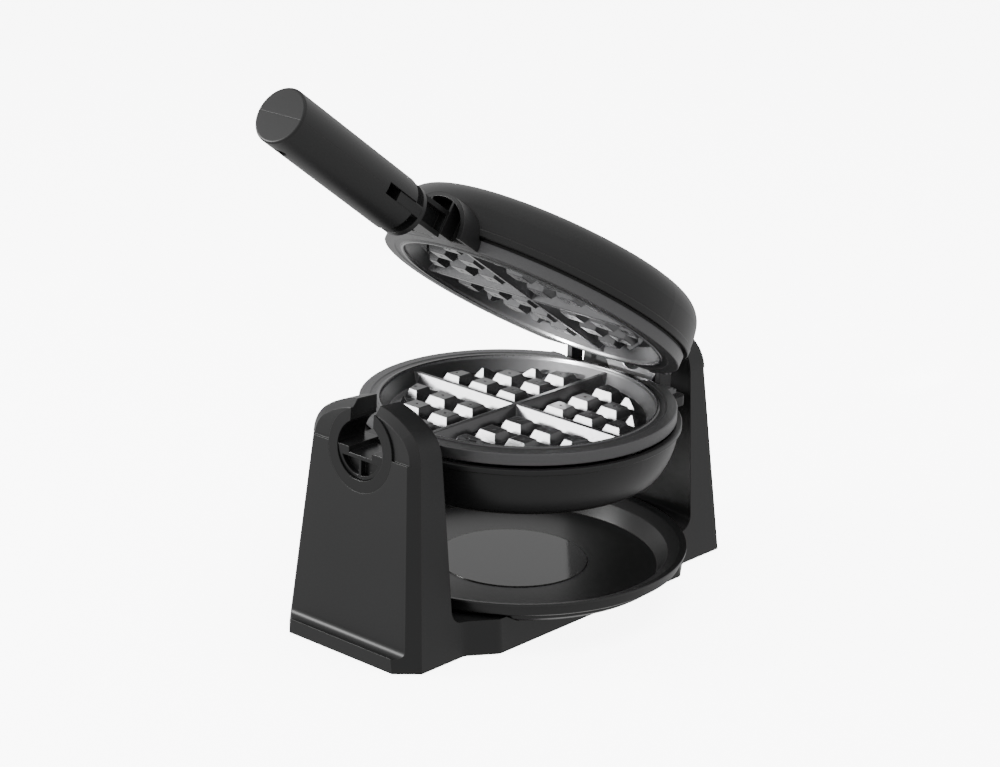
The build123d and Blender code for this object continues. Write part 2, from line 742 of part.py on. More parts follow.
def lower_housing():
    """Bowl with its flange, plate seat, half bosses at both ends, hinge shelf and screw posts."""
    low = flange_z - flange_height
    housing = bowl(0, flange_z)
    housing += lathe((0, low), (flange_radius - 0.6, low), (flange_radius, low + 0.6), (flange_radius, flange_z - 0.6),
                     (flange_radius - 0.6, flange_z), (0, flange_z))
    seat_radius = plate_radius - 2.0
    housing += rod_z(0, 0, seat_radius, flange_z, band_z)
    boss_top = rim_z
    half_boss = rod_y(boss_radius, -boss_front_y, -plate_radius + 8)
    half_boss -= block((-big, big), (-big, 0), (boss_top, big))
    half_boss -= rod_z(0, 0, plate_radius + 0.5, band_z, big)
    lug_half, lug_reach, lug_height = front_lug
    notch = plate_radius + lug_reach + 0.4
    half_boss -= block((-lug_half - 0.4, lug_half + 0.4), (-notch, 0), (rim_z - lug_height - 0.4, big))
    rear_end = inner_at_axis - tower_play - trunnion_flange - 2.3
    rear_boss = rod_y(boss_radius - 3.5, plate_radius - 12, rear_end)
    rear_boss -= block((-big, big), (0, big), (flange_z - 1, big))
    housing += half_boss
    housing += rear_shelf()
    housing += rear_boss
    housing -= bowl(wall, big)
    housing -= rod_z(0, 0, seat_radius - 4, flange_z - 6, big)
    behind_chord = block((-ear_x[1] - 1, ear_x[1] + 1), (plate_chord_y - 3, big), (flange_z, axis_z))
    housing -= behind_chord
    for side in (-1, 1):
        middle = side * (ear_x[0] + ear_x[1]) / 2
        stop = (plate_chord_y + 0.2, plate_chord_y + 4)
        housing += block((middle - 4, middle + 4), stop, (flange_z - 1, band_z + 1.5))
    for x in bracket_screw_x:
        housing -= rod_z(x, hinge_y, screw_radius + seat_fit, flange_z - shelf_height + 1, big)
    for x, z in trunnion_screw_spots:
        housing -= rod_y(screw_radius + seat_fit, rear_end - thread_depth, rear_end + 1, x, z)
    housing -= journal_tenon(0.1)
    for angle in post_angles:
        x = post_circle * cos(radians(angle))
        y = post_circle * sin(radians(angle))
        housing += rod_z(x, y, post_radius + 0.5, bowl_bottom_z + wall / 2, shield_z)
        housing -= rod_z(x, y, screw_radius + 0.3, 0, shield_z + 1)
        housing -= rod_z(x, y, screw_head_radius + head_clearance, 0, bowl_bottom_z + wall + 6)
    return housing


def lower_plate_screws():
    """Three screws up through the bowl and the shield into the plate's posts."""
    seat = bowl_bottom_z + wall + 6
    length = post_end_z + thread_depth - 1 - seat
    spots = [(post_circle * cos(radians(a)), post_circle * sin(radians(a))) for a in post_angles]
    return [Location((x, y, seat)) * screw(length) for x, y in spots]


def journal_tenon(grow):
    """Half round tenon that seats the journal in the housing's front boss."""
    radius = journal_radius - 4 + grow
    tenon = rod_y(radius, -boss_front_y - 1, -boss_front_y + 10 + grow)
    return tenon - block((-big, big), (-big, 0), (channel_floor_z - 3 + grow, big))


def front_journal():
    """Half round journal with the neck's channel along its top and a ribbed front pocket."""
    face_y = -front_face_at_axis + journal_setback
    journal = rod_y(journal_radius, face_y, -boss_front_y)
    journal -= block((-big, big), (-big, 0), (axis_z, big))
    journal -= block((-slot_half, slot_half), (-big, 0), (channel_floor_z, big))
    pocket = rod_y(journal_radius - 2.4, face_y, face_y + journal_pocket)
    pocket -= block((-big, big), (-big, 0), (channel_floor_z - 2.6, big))
    pocket -= block((-0.9, 0.9), (-big, 0), (0, big))
    return journal - pocket + journal_tenon(0)


def rear_trunnion():
    """Hollow shaft with a flange that is screwed to the housing's rear boss."""
    flange_y = inner_at_axis - tower_play - trunnion_flange - 2.3
    shaft_end = inner_at_axis + bush_length + bush_flange + ring_thickness + 1.8
    trunnion = rod_y(trunnion_radius, flange_y, shaft_end)
    trunnion += rod_y(trunnion_flange_radius, flange_y, flange_y + trunnion_flange)
    foot = rod_y(boss_radius - 3.5, flange_y, flange_y + trunnion_flange)
    trunnion += foot - block((-big, big), (0, big), (axis_z - 6, big))
    groove_y = inner_at_axis + bush_length + bush_flange + 0.3
    groove = rod_y(trunnion_radius + 1, groove_y, groove_y + ring_thickness + 0.2)
    groove -= rod_y(trunnion_radius - ring_groove, 0, big)
    trunnion -= groove
    trunnion -= rod_y(trunnion_bore, 0, big)
    for x, z in trunnion_screw_spots:
        trunnion -= rod_y(screw_radius + 0.2, 0, big, x, z)
    return trunnion


def trunnion_retaining_ring():
    """Open snap ring in the trunnion's groove, inside the rear tower."""
    y = inner_at_axis + bush_length + bush_flange + 0.4
    ring = rod_y(ring_radius, y, y + ring_thickness) - rod_y(trunnion_radius - ring_groove, 0, big)
    return ring - block((-3, 3), (0, big), (axis_z, big))


def trunnion_screws():
    """Two screws that hold the trunnion's flange."""
    y = inner_at_axis - tower_play - 2.3
    screws = []
    for x, z in trunnion_screw_spots:
        seat = Plane(origin=(x, y, z), x_dir=(1, 0, 0), z_dir=(0, -1, 0))
        screws.append(seat * screw(trunnion_flange + thread_depth - 2))
    return screws


def eye_plate(x_low, x_high, hole, foot):
    """Bracket ear: an eye round the hinge pin drawn out to a rectangular foot in side view."""
    low_y, low_z, high_y, high_z = foot
    corners = [(low_y, low_z), (high_y, low_z), (high_y, high_z), (low_y, high_z)]
    outline = Polyline(*corners, close=True).edges() + Edge.make_circle(hinge_eye_radius).moved(
        Location((hinge_y, hinge_z, 0)))
    ear = extrude(Plane.YZ.offset(x_low) * make_hull(outline), x_high - x_low)
    return ear - rod_x(hole, x_low - 1, x_high + 1)


def hinge_bracket():
    """Bracket on the lower housing's shelf with an ear at each side for the hinge pin."""
    base_z = flange_z + bracket_sheet
    low_y = plate_chord_y + 2.5
    high_y = plate_chord_y + shelf_reach - 2
    bracket = block((-arm_x[1], arm_x[1]), (low_y, high_y), (flange_z, base_z))
    foot = (hinge_y - hinge_eye_radius, flange_z, hinge_y + hinge_eye_radius, base_z)
    for side in (-1, 1):
        low, high = sorted((side * arm_x[0], side * arm_x[1]))
        bracket += eye_plate(low, high, hinge_pin_radius + seat_fit, foot)
    for x in bracket_screw_x:
        bracket -= rod_z(x, hinge_y, screw_radius + 0.2, 0, big)
    return bracket


def hinge_bracket_screws():
    """Two screws down into the shelf."""
    seat = flange_z + bracket_sheet
    driven = Plane(origin=(0, 0, 0), x_dir=(1, 0, 0), z_dir=(0, 0, -1)) * screw(bracket_sheet + shelf_height - 1.5)
    return [Location((x, hinge_y, seat)) * driven for x in bracket_screw_x]


def hinge_pin():
    """Pin through all four ears, headed at one end."""
    pin = rod_x(hinge_pin_radius, -arm_x[1] - 1, arm_x[1] + 0.5)
    return pin + rod_x(hinge_pin_radius + 1.2, -arm_x[1] - 1.2, -arm_x[1])


# Lid, drawn closed
def dome(inset, low):
    """Lid housing's outer form in three arcs, moved in by an inset and cut off at a low level."""
    radius = plate_radius + 2.0
    base_z = lid_flange_top + dome_step
    side, shoulder = dome_radii
    side_turn, shoulder_turn = dome_turns
    shoulder_x = radius - side + (side - shoulder) * cos(radians(side_turn))
    crown = shoulder + shoulder_x / cos(radians(shoulder_turn))
    curves = smooth_arcs((radius - side, base_z), 0,
                         [(side - inset, side_turn), (shoulder - inset, shoulder_turn), (crown - inset, 90)])
    top = (0, (curves[-1] @ 1).Y)
    foot = radius - inset
    edges = [Line((0, low), (foot, low)), Line((foot, low), (foot, base_z)), *curves, Line(top, (0, low))]
    return revolve(Plane.XZ * make_face(Curve(edges)), Axis.Z)


lid_rim_z = seam_z + plate_gap / 2
lid_band_z = lid_rim_z + plate_band
lid_back_z = lid_rim_z + well_depth + plate_sheet
lid_flange_z = lid_band_z + plate_seat_gap
lid_flange_top = lid_flange_z + lid_flange_height
lid_post_end_z = lid_back_z + post_length
housing_screw_spots = [(side * 20.0, plate_chord_y + 4.2) for side in (-1, 1)]
bracket_rivet_spots = [(side * 24.0, plate_chord_y - 12.0) for side in (-1, 1)]


def lid_housing():
    """Domed cover with its flange, plate seat, hinge window and two inner screw posts."""
    flange = plate_radius + lid_flange_reach
    seat = plate_radius - 2.0
    housing = dome(0, lid_flange_z)
    housing += lathe((0, lid_flange_z), (flange - 0.6, lid_flange_z), (flange, lid_flange_z + 0.6),
                     (flange, lid_flange_top - 0.6), (flange - 0.6, lid_flange_top), (0, lid_flange_top))
    housing += rod_z(0, 0, seat, lid_band_z, lid_flange_z)
    ledge_z = lid_flange_z + wall
    cavity = dome(wall, ledge_z) + rod_z(0, 0, seat - 4, lid_band_z - 1, ledge_z + 1)
    post_foot = lid_back_z + bracket_sheet
    for x, y in housing_screw_spots:
        cavity -= rod_z(x, y, screw_boss_radius, post_foot, big)
    housing -= cavity
    window_top = hinge_z + lid_window_top
    inner, outer = lid_window_x
    housing -= block((-outer, outer), (plate_chord_y + 0.5, big), (0, post_foot - bracket_sheet + 0.2))
    housing -= block((-outer, outer), (plate_chord_y + 7.7, big), (0, window_top))
    for side in (-1, 1):
        low, high = sorted((side * inner, side * outer))
        housing -= block((low, high), (plate_chord_y + 3.5, big), (0, window_top))
    for x, y in housing_screw_spots:
        housing -= rod_z(x, y, screw_radius + seat_fit, post_foot - 1, post_foot + thread_depth)
    return housing


def upper_plate():
    """The lid's waffle plate, a mirror image of the lower one, drilled for its hinge bracket."""
    plate = upside(waffle_plate(), seam_z)
    for x, y in bracket_rivet_spots:
        plate -= rod_z(x, y, screw_radius + seat_fit, lid_back_z - plate_sheet + 1, lid_back_z + 1)
    return plate


def upper_heater():
    """Heating element behind the lid's plate."""
    return upside(heater(), seam_z)


def upper_heat_shield():
    """Reflector behind the lid's plate."""
    return upside(heat_shield(), seam_z)


def upper_plate_screws():
    """Three screws that hold the lid's shield to the plate's posts."""
    seat = lid_post_end_z + shield_sheet
    driven = Plane(origin=(0, 0, 0), x_dir=(1, 0, 0), z_dir=(0, 0, -1)) * screw(shield_sheet + thread_depth - 1)
    spots = [(post_circle * cos(radians(a)), post_circle * sin(radians(a))) for a in post_angles]
    return [Location((x, y, seat)) * driven for x, y in spots]


def lid_hinge_bracket():
    """Bracket behind the lid's plate with two ears that turn on the hinge pin."""
    top_z = lid_back_z + bracket_sheet
    high_y = plate_chord_y + 8.0
    bracket = block((-lid_lug_x[1], lid_lug_x[1]), (plate_chord_y - 16, high_y), (lid_back_z, top_z))
    foot = (plate_chord_y - 3, lid_back_z, high_y, top_z)
    for side in (-1, 1):
        low, high = sorted((side * lid_lug_x[0], side * lid_lug_x[1]))
        bracket += eye_plate(low, high, hinge_pin_radius + hinge_fit, foot)
    for x, y in housing_screw_spots + bracket_rivet_spots:
        bracket -= rod_z(x, y, screw_radius + 0.2, 0, big)
    return bracket


def lid_housing_screws():
    """Two screws up through the hinge bracket into the lid housing's posts."""
    return [Location((x, y, lid_back_z)) * screw(bracket_sheet + thread_depth - 1) for x, y in housing_screw_spots]


def lid_bracket_screws():
    """Two short screws that hold the bracket to the back of the lid's plate."""
    seat = lid_back_z + bracket_sheet
    driven = Plane(origin=(0, 0, 0), x_dir=(1, 0, 0), z_dir=(0, 0, -1)) * screw(bracket_sheet + plate_sheet - 1.2)
    return [Location((x, y, seat)) * driven for x, y in bracket_rivet_spots]


def lid_collar():
    """Half drum on the lid's front with a ribbed pocket, and the neck that reaches through the tower."""
    front_y = -boss_front_y
    drum = rod_y(drum_radius, front_y, -plate_radius + 12)
    drum -= block((-big, big), (-big, 0), (0, lid_rim_z))
    pocket = rod_y(drum_radius - drum_wall, front_y - 1, front_y + drum_pocket)
    pocket -= block((-big, big), (-big, 0), (0, lid_rim_z - 1))
    for x in (-9.0, 9.0):
        pocket -= block((x - 0.8, x + 0.8), (-big, 0), (0, big))
    drum -= pocket
    neck_end = -front_face_at_axis - disc_gap
    low = axis_z + neck_bottom
    high = axis_z + neck_top
    behind = -plate_radius - front_lug[1] - 0.6
    neck = block((-neck_half, neck_half), (neck_end, front_y + drum_pocket), (low, high))
    for side in (-1, 1):
        near, far = sorted((side * neck_web, side * (neck_half + 1)))
        neck -= block((near, far), (neck_end + 2.0, front_y - 1.5), (low + neck_rail, high - neck_rail))
    neck -= block((-big, big), (behind, 0), (0, lid_rim_z + front_lug[2] + 0.4))
    neck -= block((-big, big), (front_y - 0.4, 0), (0, lid_rim_z))
    collar = drum + neck
    collar -= rod_z(0, 0, plate_radius + 0.3, 0, lid_band_z + 0.5)
    collar -= rod_z(0, 0, plate_radius + lid_flange_reach + 0.05, lid_band_z, lid_flange_top)
    collar -= dome(-seat_fit, lid_flange_top - 1)
    lug = (front_lug[0] + 0.3, plate_radius + front_lug[1] + 0.4)
    return collar - block((-lug[0], lug[0]), (-lug[1], 0), (0, lid_rim_z + front_lug[2] + 0.3))


# Handle, drawn level and then tipped up a little towards its end
def tip_handle(shape):
    """Tip a level handle part about the disc's back face."""
    pivot = Axis((0, -front_face_at_axis - disc_gap, axis_z + 0.6), (1, 0, 0))
    return shape.rotate(pivot, -handle_tilt, transform=True)


handle_z = axis_z + 0.6
disc_y = -front_face_at_axis - disc_gap
disc_front_y = disc_y - disc_thickness
grip_y = disc_front_y - grip_start
grip_end_y = grip_y - grip_length
tongue_end_y = disc_front_y - tongue_reach
pocket_end_y = tongue_end_y - pocket_reach


def handle_bar():
    """Round disc at the neck's end with a flat tongue and a narrower core inside the grip."""
    bar = rod_y(disc_radius, disc_front_y, disc_y + 1, z=handle_z)
    half = tongue_height / 2
    bar += block((-tongue_half, tongue_half), (tongue_end_y, disc_front_y), (handle_z - half, handle_z + half))
    bar &= rod_y(disc_radius, -big, 0, z=handle_z)
    core = block((-core_half, core_half), (disc_front_y - core_reach, tongue_end_y + 1),
                 (handle_z - core_height / 2, handle_z + core_height / 2))
    return keep_below(tip_handle(bar + core), (0, disc_y, handle_z), (0, 1, 0))


def grip_shell(upper):
    """Half of the tubular grip: closed end, side slots for the tongue, ribs and screw posts."""
    outside = rod_y(grip_radius, grip_end_y, grip_y, z=handle_z)
    end_edges = [e for e in outside.edges() if abs(e.center().Y - grip_end_y) < 0.1]
    outside = fillet(end_edges, grip_end_round)
    inside = rod_y(grip_radius - grip_wall, grip_end_y + grip_end_wall, grip_y + 1, z=handle_z)
    half = tongue_height / 2 + tongue_clearance
    for k in range(3):
        y = grip_end_y + 22 + k * 26
        inside -= block((-big, big), (y - 0.9, y + 0.9), (0, big))
    for y in grip_screw_y:
        inside -= rod_z(0, y, screw_boss_radius, 0, big)
    shell = outside - inside
    shell -= block((-big, big), (pocket_end_y, big), (handle_z - half, handle_z + half))
    bar_half = core_half + 0.4
    bar_rise = core_height / 2 + 0.3
    shell -= block((-bar_half, bar_half), (disc_front_y - core_reach - grip_slide - 4, big),
                   (handle_z - bar_rise, handle_z + bar_rise))
    if upper:
        shell -= block((-big, big), (-big, big), (0, handle_z))
        for y in grip_screw_y:
            shell -= rod_z(0, y, screw_radius + seat_fit, handle_z - 1, handle_z + thread_depth)
    else:
        shell -= block((-big, big), (-big, big), (handle_z, big))
        for y in grip_screw_y:
            shell -= rod_z(0, y, screw_radius + 0.2, 0, handle_z + 1)
            shell -= rod_z(0, y, screw_head_radius + head_clearance, 0, handle_z - 10)
    return tip_handle(shell)


grip_screw_y = (grip_end_y + 14.0,)


def handle_upper_shell():
    """Upper half of the grip."""
    return grip_shell(True)


def handle_lower_shell():
    """Lower half of the grip."""
    return grip_shell(False)


def handle_screws():
    """Screws up through the lower half into the upper one."""
    return [tip_handle(Location((0, y, handle_z - 10)) * screw(10 + thread_depth - 1)) for y in grip_screw_y]


fixed_nodes = {
    "base_shell": base_shell,
    "base_bottom_plate": base_bottom_plate,
    "base_screws": base_screws,
    "rubber_feet": rubber_feet,
    "front_bearing_ring": front_bearing_ring,
    "rear_bearing_bush": rear_bearing_bush,
    "rear_tower_cover": rear_tower_cover,
    "rear_cover_screws": rear_cover_screws,
    "cord_inlet_bush": cord_inlet_bush,
    "drip_tray": drip_tray,
    "lower_housing": lower_housing,
    "lower_plate": waffle_plate,
    "lower_heater": heater,
    "lower_heat_shield": heat_shield,
    "lower_plate_screws": lower_plate_screws,
    "thermostat": thermostat,
    "thermal_fuse": thermal_fuse,
    "front_journal": front_journal,
    "rear_trunnion": rear_trunnion,
    "trunnion_retaining_ring": trunnion_retaining_ring,
    "trunnion_screws": trunnion_screws,
    "hinge_bracket": hinge_bracket,
    "hinge_bracket_screws": hinge_bracket_screws,
    "hinge_pin": hinge_pin,
}

swung_nodes = {
    "lid_housing": lid_housing,
    "upper_plate": upper_plate,
    "upper_heater": upper_heater,
    "upper_heat_shield": upper_heat_shield,
    "upper_plate_screws": upper_plate_screws,
    "lid_hinge_bracket": lid_hinge_bracket,
    "lid_bracket_screws": lid_bracket_screws,
    "lid_housing_screws": lid_housing_screws,
    "lid_collar": lid_collar,
    "handle_bar": handle_bar,
    "handle_upper_shell": handle_upper_shell,
    "handle_lower_shell": handle_lower_shell,
    "handle_screws": handle_screws,
}


def gather(solids):
    """One solid as it is, several solids as one node."""
    return solids[0] if len(solids) == 1 else Compound(children=solids)


os.makedirs("parts", exist_ok=True)
for name, make in {**fixed_nodes, **swung_nodes}.items():
    made = make()
    pieces = made if isinstance(made, list) else [made]
    if name in swung_nodes:
        pieces = [swing_open(piece) for piece in pieces]
    node = gather(pieces)
    node.label = name
    export_step(node, f"parts/{name}.step")
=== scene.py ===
# %% [markdown]
# A waffle maker that turns over, dressed for a studio picture.
# The measured model arrives as a fixed frame of named pieces, so nothing here moves or resizes it.
# This lesson gives every piece a finish, adds the few small things that the frame leaves out,
# and sets floor, lights and camera the way a product photographer would.

# %% Load the frame
from math import cos, radians, sin

import bmesh
import bpy
import numpy as np
from mathutils import Matrix, Vector


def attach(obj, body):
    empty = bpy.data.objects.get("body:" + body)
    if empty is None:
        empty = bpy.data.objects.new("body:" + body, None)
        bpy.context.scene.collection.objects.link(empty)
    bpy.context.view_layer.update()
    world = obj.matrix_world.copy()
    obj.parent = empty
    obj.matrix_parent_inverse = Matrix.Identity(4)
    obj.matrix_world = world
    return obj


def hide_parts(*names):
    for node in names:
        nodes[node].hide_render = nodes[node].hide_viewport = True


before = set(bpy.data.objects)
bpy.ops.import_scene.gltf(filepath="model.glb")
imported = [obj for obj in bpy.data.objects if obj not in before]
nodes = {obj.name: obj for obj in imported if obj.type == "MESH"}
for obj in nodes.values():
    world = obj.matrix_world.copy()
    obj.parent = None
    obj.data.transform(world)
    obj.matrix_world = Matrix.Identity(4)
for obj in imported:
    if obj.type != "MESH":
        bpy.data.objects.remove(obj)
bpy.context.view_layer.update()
print("pieces in the frame:", len(nodes))

# %% [markdown]
# Finishes are node trees, and writing them socket by socket hides the idea behind the wiring.
# A small class that wraps one socket lets a sum be written as a sum, so `1 - mask` adds its own
# Math node. Everything that isn't arithmetic comes from one method, `add`.

# %% A socket that can be added and multiplied


class Wire:
    """An output socket of a finish, with arithmetic."""

    def __init__(self, finish, socket):
        self.finish = finish
        self.socket = socket

    def join(self, operation, first, second):
        return self.finish.add("ShaderNodeMath", {"operation": operation}, {0: first, 1: second})

    def __add__(self, other):
        return self.join("ADD", self, other)

    def __radd__(self, other):
        return self.join("ADD", other, self)

    def __sub__(self, other):
        return self.join("SUBTRACT", self, other)

    def __rsub__(self, other):
        return self.join("SUBTRACT", other, self)

    def __mul__(self, other):
        return self.join("MULTIPLY", self, other)

    def __rmul__(self, other):
        return self.join("MULTIPLY", other, self)


class Finish:
    """A material under construction."""

    def __init__(self, name):
        self.material = bpy.data.materials.new(name)
        self.material.use_nodes = True
        self.tree = self.material.node_tree
        self.shader = self.tree.nodes["Principled BSDF"]

    def add(self, kind, settings=None, sockets=None, output=0):
        """Add one node: its settings first, then the values or links of its sockets."""
        node = self.tree.nodes.new(kind)
        for key, value in (settings or {}).items():
            setattr(node, key, value)
        for key, value in (sockets or {}).items():
            self.plug(node.inputs[key], value)
        return Wire(self, node.outputs[output])

    def plug(self, socket, value):
        """Link a wire to a socket, or set the socket's own value."""
        if isinstance(value, Wire):
            self.tree.links.new(value.socket, socket)
        else:
            socket.default_value = value

    def set(self, **sockets):
        """Fill the shader's sockets, written with underscores for spaces."""
        for key, value in sockets.items():
            self.plug(self.shader.inputs[key.replace("_", " ")], value)
        return self.material


print("socket arithmetic ready")

# %% [markdown]
# Every finish needs the same ingredients: where on the piece we are, a little unevenness, a colour
# between two greys, and a surface normal that rounds the sharp edges of the frame. Moulded and cast
# edges always carry a small radius, which catches the light as a thin bright line. Bevelling the
# mesh would change the frame, so the radius is only shaded, by a Bevel node under the bump.

# %% Ingredients shared by the finishes
edge_samples = 6
cool_tint = 1.02


def place(finish):
    """Point on the piece in metres."""
    return finish.add("ShaderNodeTexCoord", output="Object")


def speckle(finish, where, per_metre, detail=2.0, roughness=0.5):
    """Noise from 0 to 1 with so many cells to a metre."""
    sockets = {"Vector": where, "Scale": per_metre, "Detail": detail, "Roughness": roughness}
    return finish.add("ShaderNodeTexNoise", sockets=sockets)


def rounded_normal(finish, radius, height, depth):
    """Normal with its edges rounded to a radius and a bump of some depth in metres."""
    edges = finish.add("ShaderNodeBevel", {"samples": edge_samples}, {"Radius": radius}, output="Normal")
    sockets = {"Height": height, "Distance": depth, "Strength": 1.0, "Normal": edges}
    return finish.add("ShaderNodeBump", sockets=sockets)


def grey(finish, low, high, amount):
    """Colour between two grey levels. The Mix node has its colours in sockets 6 and 7 and output 2."""
    dark, light = ((level, level, level * cool_tint, 1.0) for level in (low, high))
    return finish.add("ShaderNodeMix", {"data_type": "RGBA"}, {0: amount, 6: dark, 7: light}, output=2)


print("edges are rounded with", edge_samples, "samples")

# %% [markdown]
# Base, housings, bearing and handle are moulded in black plastic with a fine spark-eroded grain.
# A picture of such a grain would show seams, and modelling it would take millions of faces, so it is
# a bump made from noise. Tone and sheen drift a little over a piece, as they do on a large moulding.

# %% Moulded black plastic
plastic_gloss = 0.3
plastic_edge = 0.0006
grain_depth = 0.000015
grain_sheen = 0.03
tone_drift = 0.12
sheen_drift = 0.06


def moulded_plastic(name, tone, sheen):
    """Black plastic of one tone and sheen under a fine grain."""
    finish = Finish(name)
    where = place(finish)
    grain = speckle(finish, where, per_metre=1400.0, detail=3.0)
    drift = speckle(finish, where, per_metre=9.0)
    return finish.set(
        Base_Color=grey(finish, tone * (1 - tone_drift), tone * (1 + tone_drift), drift),
        Specular_IOR_Level=plastic_gloss,
        Roughness=sheen - sheen_drift / 2 + sheen_drift * drift + grain_sheen * grain,
        Normal=rounded_normal(finish, plastic_edge, grain, grain_depth),
    )


base_plastic = moulded_plastic("base plastic", tone=0.008, sheen=0.38)
housing_plastic = moulded_plastic("housing plastic", tone=0.008, sheen=0.36)
handle_plastic = moulded_plastic("handle plastic", tone=0.008, sheen=0.38)
bearing_plastic = moulded_plastic("bearing plastic", tone=0.006, sheen=0.28)
print("plastics:", base_plastic.name, housing_plastic.name, handle_plastic.name, bearing_plastic.name)

# %% [markdown]
# The plates and the tray are round, and their finish changes at certain radii. Such zones could be
# painted by hand or cut into the mesh, but a mask worked out from the radius has a clean edge and
# leaves the mesh alone.

# %% Masks by radius


def radius_wire(finish, where):
    """Distance from the upright middle line of the plates, in metres."""
    flat = finish.add("ShaderNodeVectorMath", {"operation": "MULTIPLY"}, {0: where, 1: (1.0, 1.0, 0.0)})
    return finish.add("ShaderNodeVectorMath", {"operation": "LENGTH"}, {0: flat}, output="Value")


def beyond(finish, away, radius, blur):
    """0 inside a radius and 1 outside it, with a soft step between."""
    sockets = {"Value": away, "From Min": radius - blur, "From Max": radius + blur}
    return finish.add("ShaderNodeMapRange", sockets=sockets)


print("masks by radius ready")

# %% [markdown]
# The waffle plates are cast aluminium with a baked non-stick coating. In the wells it is glossy with
# a faint orange peel, on the well's wall it is a little rougher, which spreads the light along it,
# and on the rim band it lies over the casting's coarser skin and sparkles. The wall's colour is also
# lifted a little, a painted highlight that brightens the light it reflects. A share of metal in the
# shader makes the lit faces as bright as the real ones. The lid's plate is tipped, so its points are
# turned back about the hinge before the radius is taken.

# %% Non-stick coating
hinge_place = (0.0, 0.1041, 0.150)
lid_angle = radians(34.64)
band_start = 0.0935
band_blur = 0.001
wall_start = 0.0850
wall_end = 0.0912
wall_blur = 0.0005
coating_tones = (0.07, 0.14)
well_share = 0.43
# Painted highlight: this share lifts the wall's colour so that its reflection looks brighter.
wall_highlight_share = 0.5
skin_share = 0.5
coating_sheen = 0.17
band_sheen = 0.2
wall_sheen = 0.13
peel_sheen = 0.06
peel_height = 0.25
coating_metal = 0.75
coating_edge = 0.0007
coating_depth = 0.00009


def level_point(finish, where):
    """Point of the tipped lid turned back to level about the hinge."""
    sockets = {"Vector": where, "Center": hinge_place, "Angle": lid_angle}
    return finish.add("ShaderNodeVectorRotate", {"rotation_type": "X_AXIS"}, sockets)


def nonstick_coating(name, tipped):
    """Coating of one waffle plate, in three zones."""
    finish = Finish(name)
    where = place(finish)
    away = radius_wire(finish, level_point(finish, where) if tipped else where)
    band = beyond(finish, away, band_start, band_blur)
    wall = beyond(finish, away, wall_start, wall_blur) * (1 - beyond(finish, away, wall_end, wall_blur))
    peel = speckle(finish, where, per_metre=420.0)
    skin = speckle(finish, where, per_metre=1500.0, detail=4.0, roughness=0.7)
    height = peel * peel_height * (1 - band) + skin * band
    # The wall's share in the colour is a painted highlight that brightens its reflection.
    share = well_share - well_share * band + band * skin * skin_share + wall_highlight_share * wall
    return finish.set(
        Base_Color=grey(finish, *coating_tones, share),
        Roughness=coating_sheen + band_sheen * band + peel_sheen * peel + wall_sheen * wall,
        Metallic=coating_metal,
        Normal=rounded_normal(finish, coating_edge, height, coating_depth),
    )


lower_coating = nonstick_coating("lower coating", tipped=False)
upper_coating = nonstick_coating("upper coating", tipped=True)
print("coatings:", lower_coating.name, upper_coating.name)

# %% [markdown]
# The tray is pressed sheet with a black enamel. Its raised pad is smooth enough to mirror the rear
# tower, while the enamel around it is duller. The tray is one pressing with no seam where the sheen
# changes, so one finish does both.

# %% Tray enamel
pad_radius = 0.0505
pad_blur = 0.0003
enamel_tones = (0.004, 0.008)
enamel_share = 0.5
cloud_share = 0.2
enamel_sheen = 0.32
pad_polish = 0.25
cloud_sheen = 0.03
enamel_gloss = 0.4
enamel_edge = 0.0006
enamel_depth = 0.00002


def tray_enamel(name):
    """Black enamel that is smoother on the raised pad."""
    finish = Finish(name)
    where = place(finish)
    pad = 1 - beyond(finish, radius_wire(finish, where), pad_radius, pad_blur)
    cloud = speckle(finish, where, per_metre=12.0)
    grain = speckle(finish, where, per_metre=900.0)
    share = enamel_share + cloud * cloud_share - pad * enamel_share
    return finish.set(
        Base_Color=grey(finish, *enamel_tones, share),
        Specular_IOR_Level=enamel_gloss,
        Roughness=enamel_sheen - pad_polish * pad + cloud_sheen * cloud,
        Normal=rounded_normal(finish, enamel_edge, grain, enamel_depth),
    )


enamel = tray_enamel("tray enamel")
print("tray:", enamel.name)

# %% [markdown]
# Shafts and shields are plated steel, screws are a little darker, the hinge's parts are near black,
# and the heater's sheath is darkened by heat. All are drawn or rolled, so one recipe stretches its
# noise into lines and takes tone and sheen as numbers. The thermostat's body is ceramic, the feet
# and the inlet bush are rubber, and a second recipe gives both of these their dull grain.

# %% Steel, ceramic and rubber
drawn_grain = (1.0, 12.0, 12.0)
line_tone = 0.8
line_sheen = 0.12
steel_edge = 0.0003
steel_depth = 0.00002
dull_drift = 0.2
dull_sheen = 0.7
dull_grain_sheen = 0.15
dull_edge = 0.0004


def plated_steel(name, tone, sheen):
    """Steel with fine drawn lines."""
    finish = Finish(name)
    stretched = finish.add("ShaderNodeMapping", sockets={"Vector": place(finish), "Scale": drawn_grain})
    lines = speckle(finish, stretched, per_metre=260.0, detail=3.0)
    return finish.set(
        Base_Color=grey(finish, tone * line_tone, tone, lines),
        Metallic=1.0,
        Roughness=sheen + line_sheen * lines,
        Normal=rounded_normal(finish, steel_edge, lines, steel_depth),
    )


def dull_surface(name, tone, per_metre, depth):
    """Surface with no shine and a grain of some depth."""
    finish = Finish(name)
    grain = speckle(finish, place(finish), per_metre, detail=3.0)
    return finish.set(
        Base_Color=grey(finish, tone * (1 - dull_drift), tone * (1 + dull_drift), grain),
        Roughness=dull_sheen + dull_grain_sheen * grain,
        Normal=rounded_normal(finish, dull_edge, grain, depth),
    )


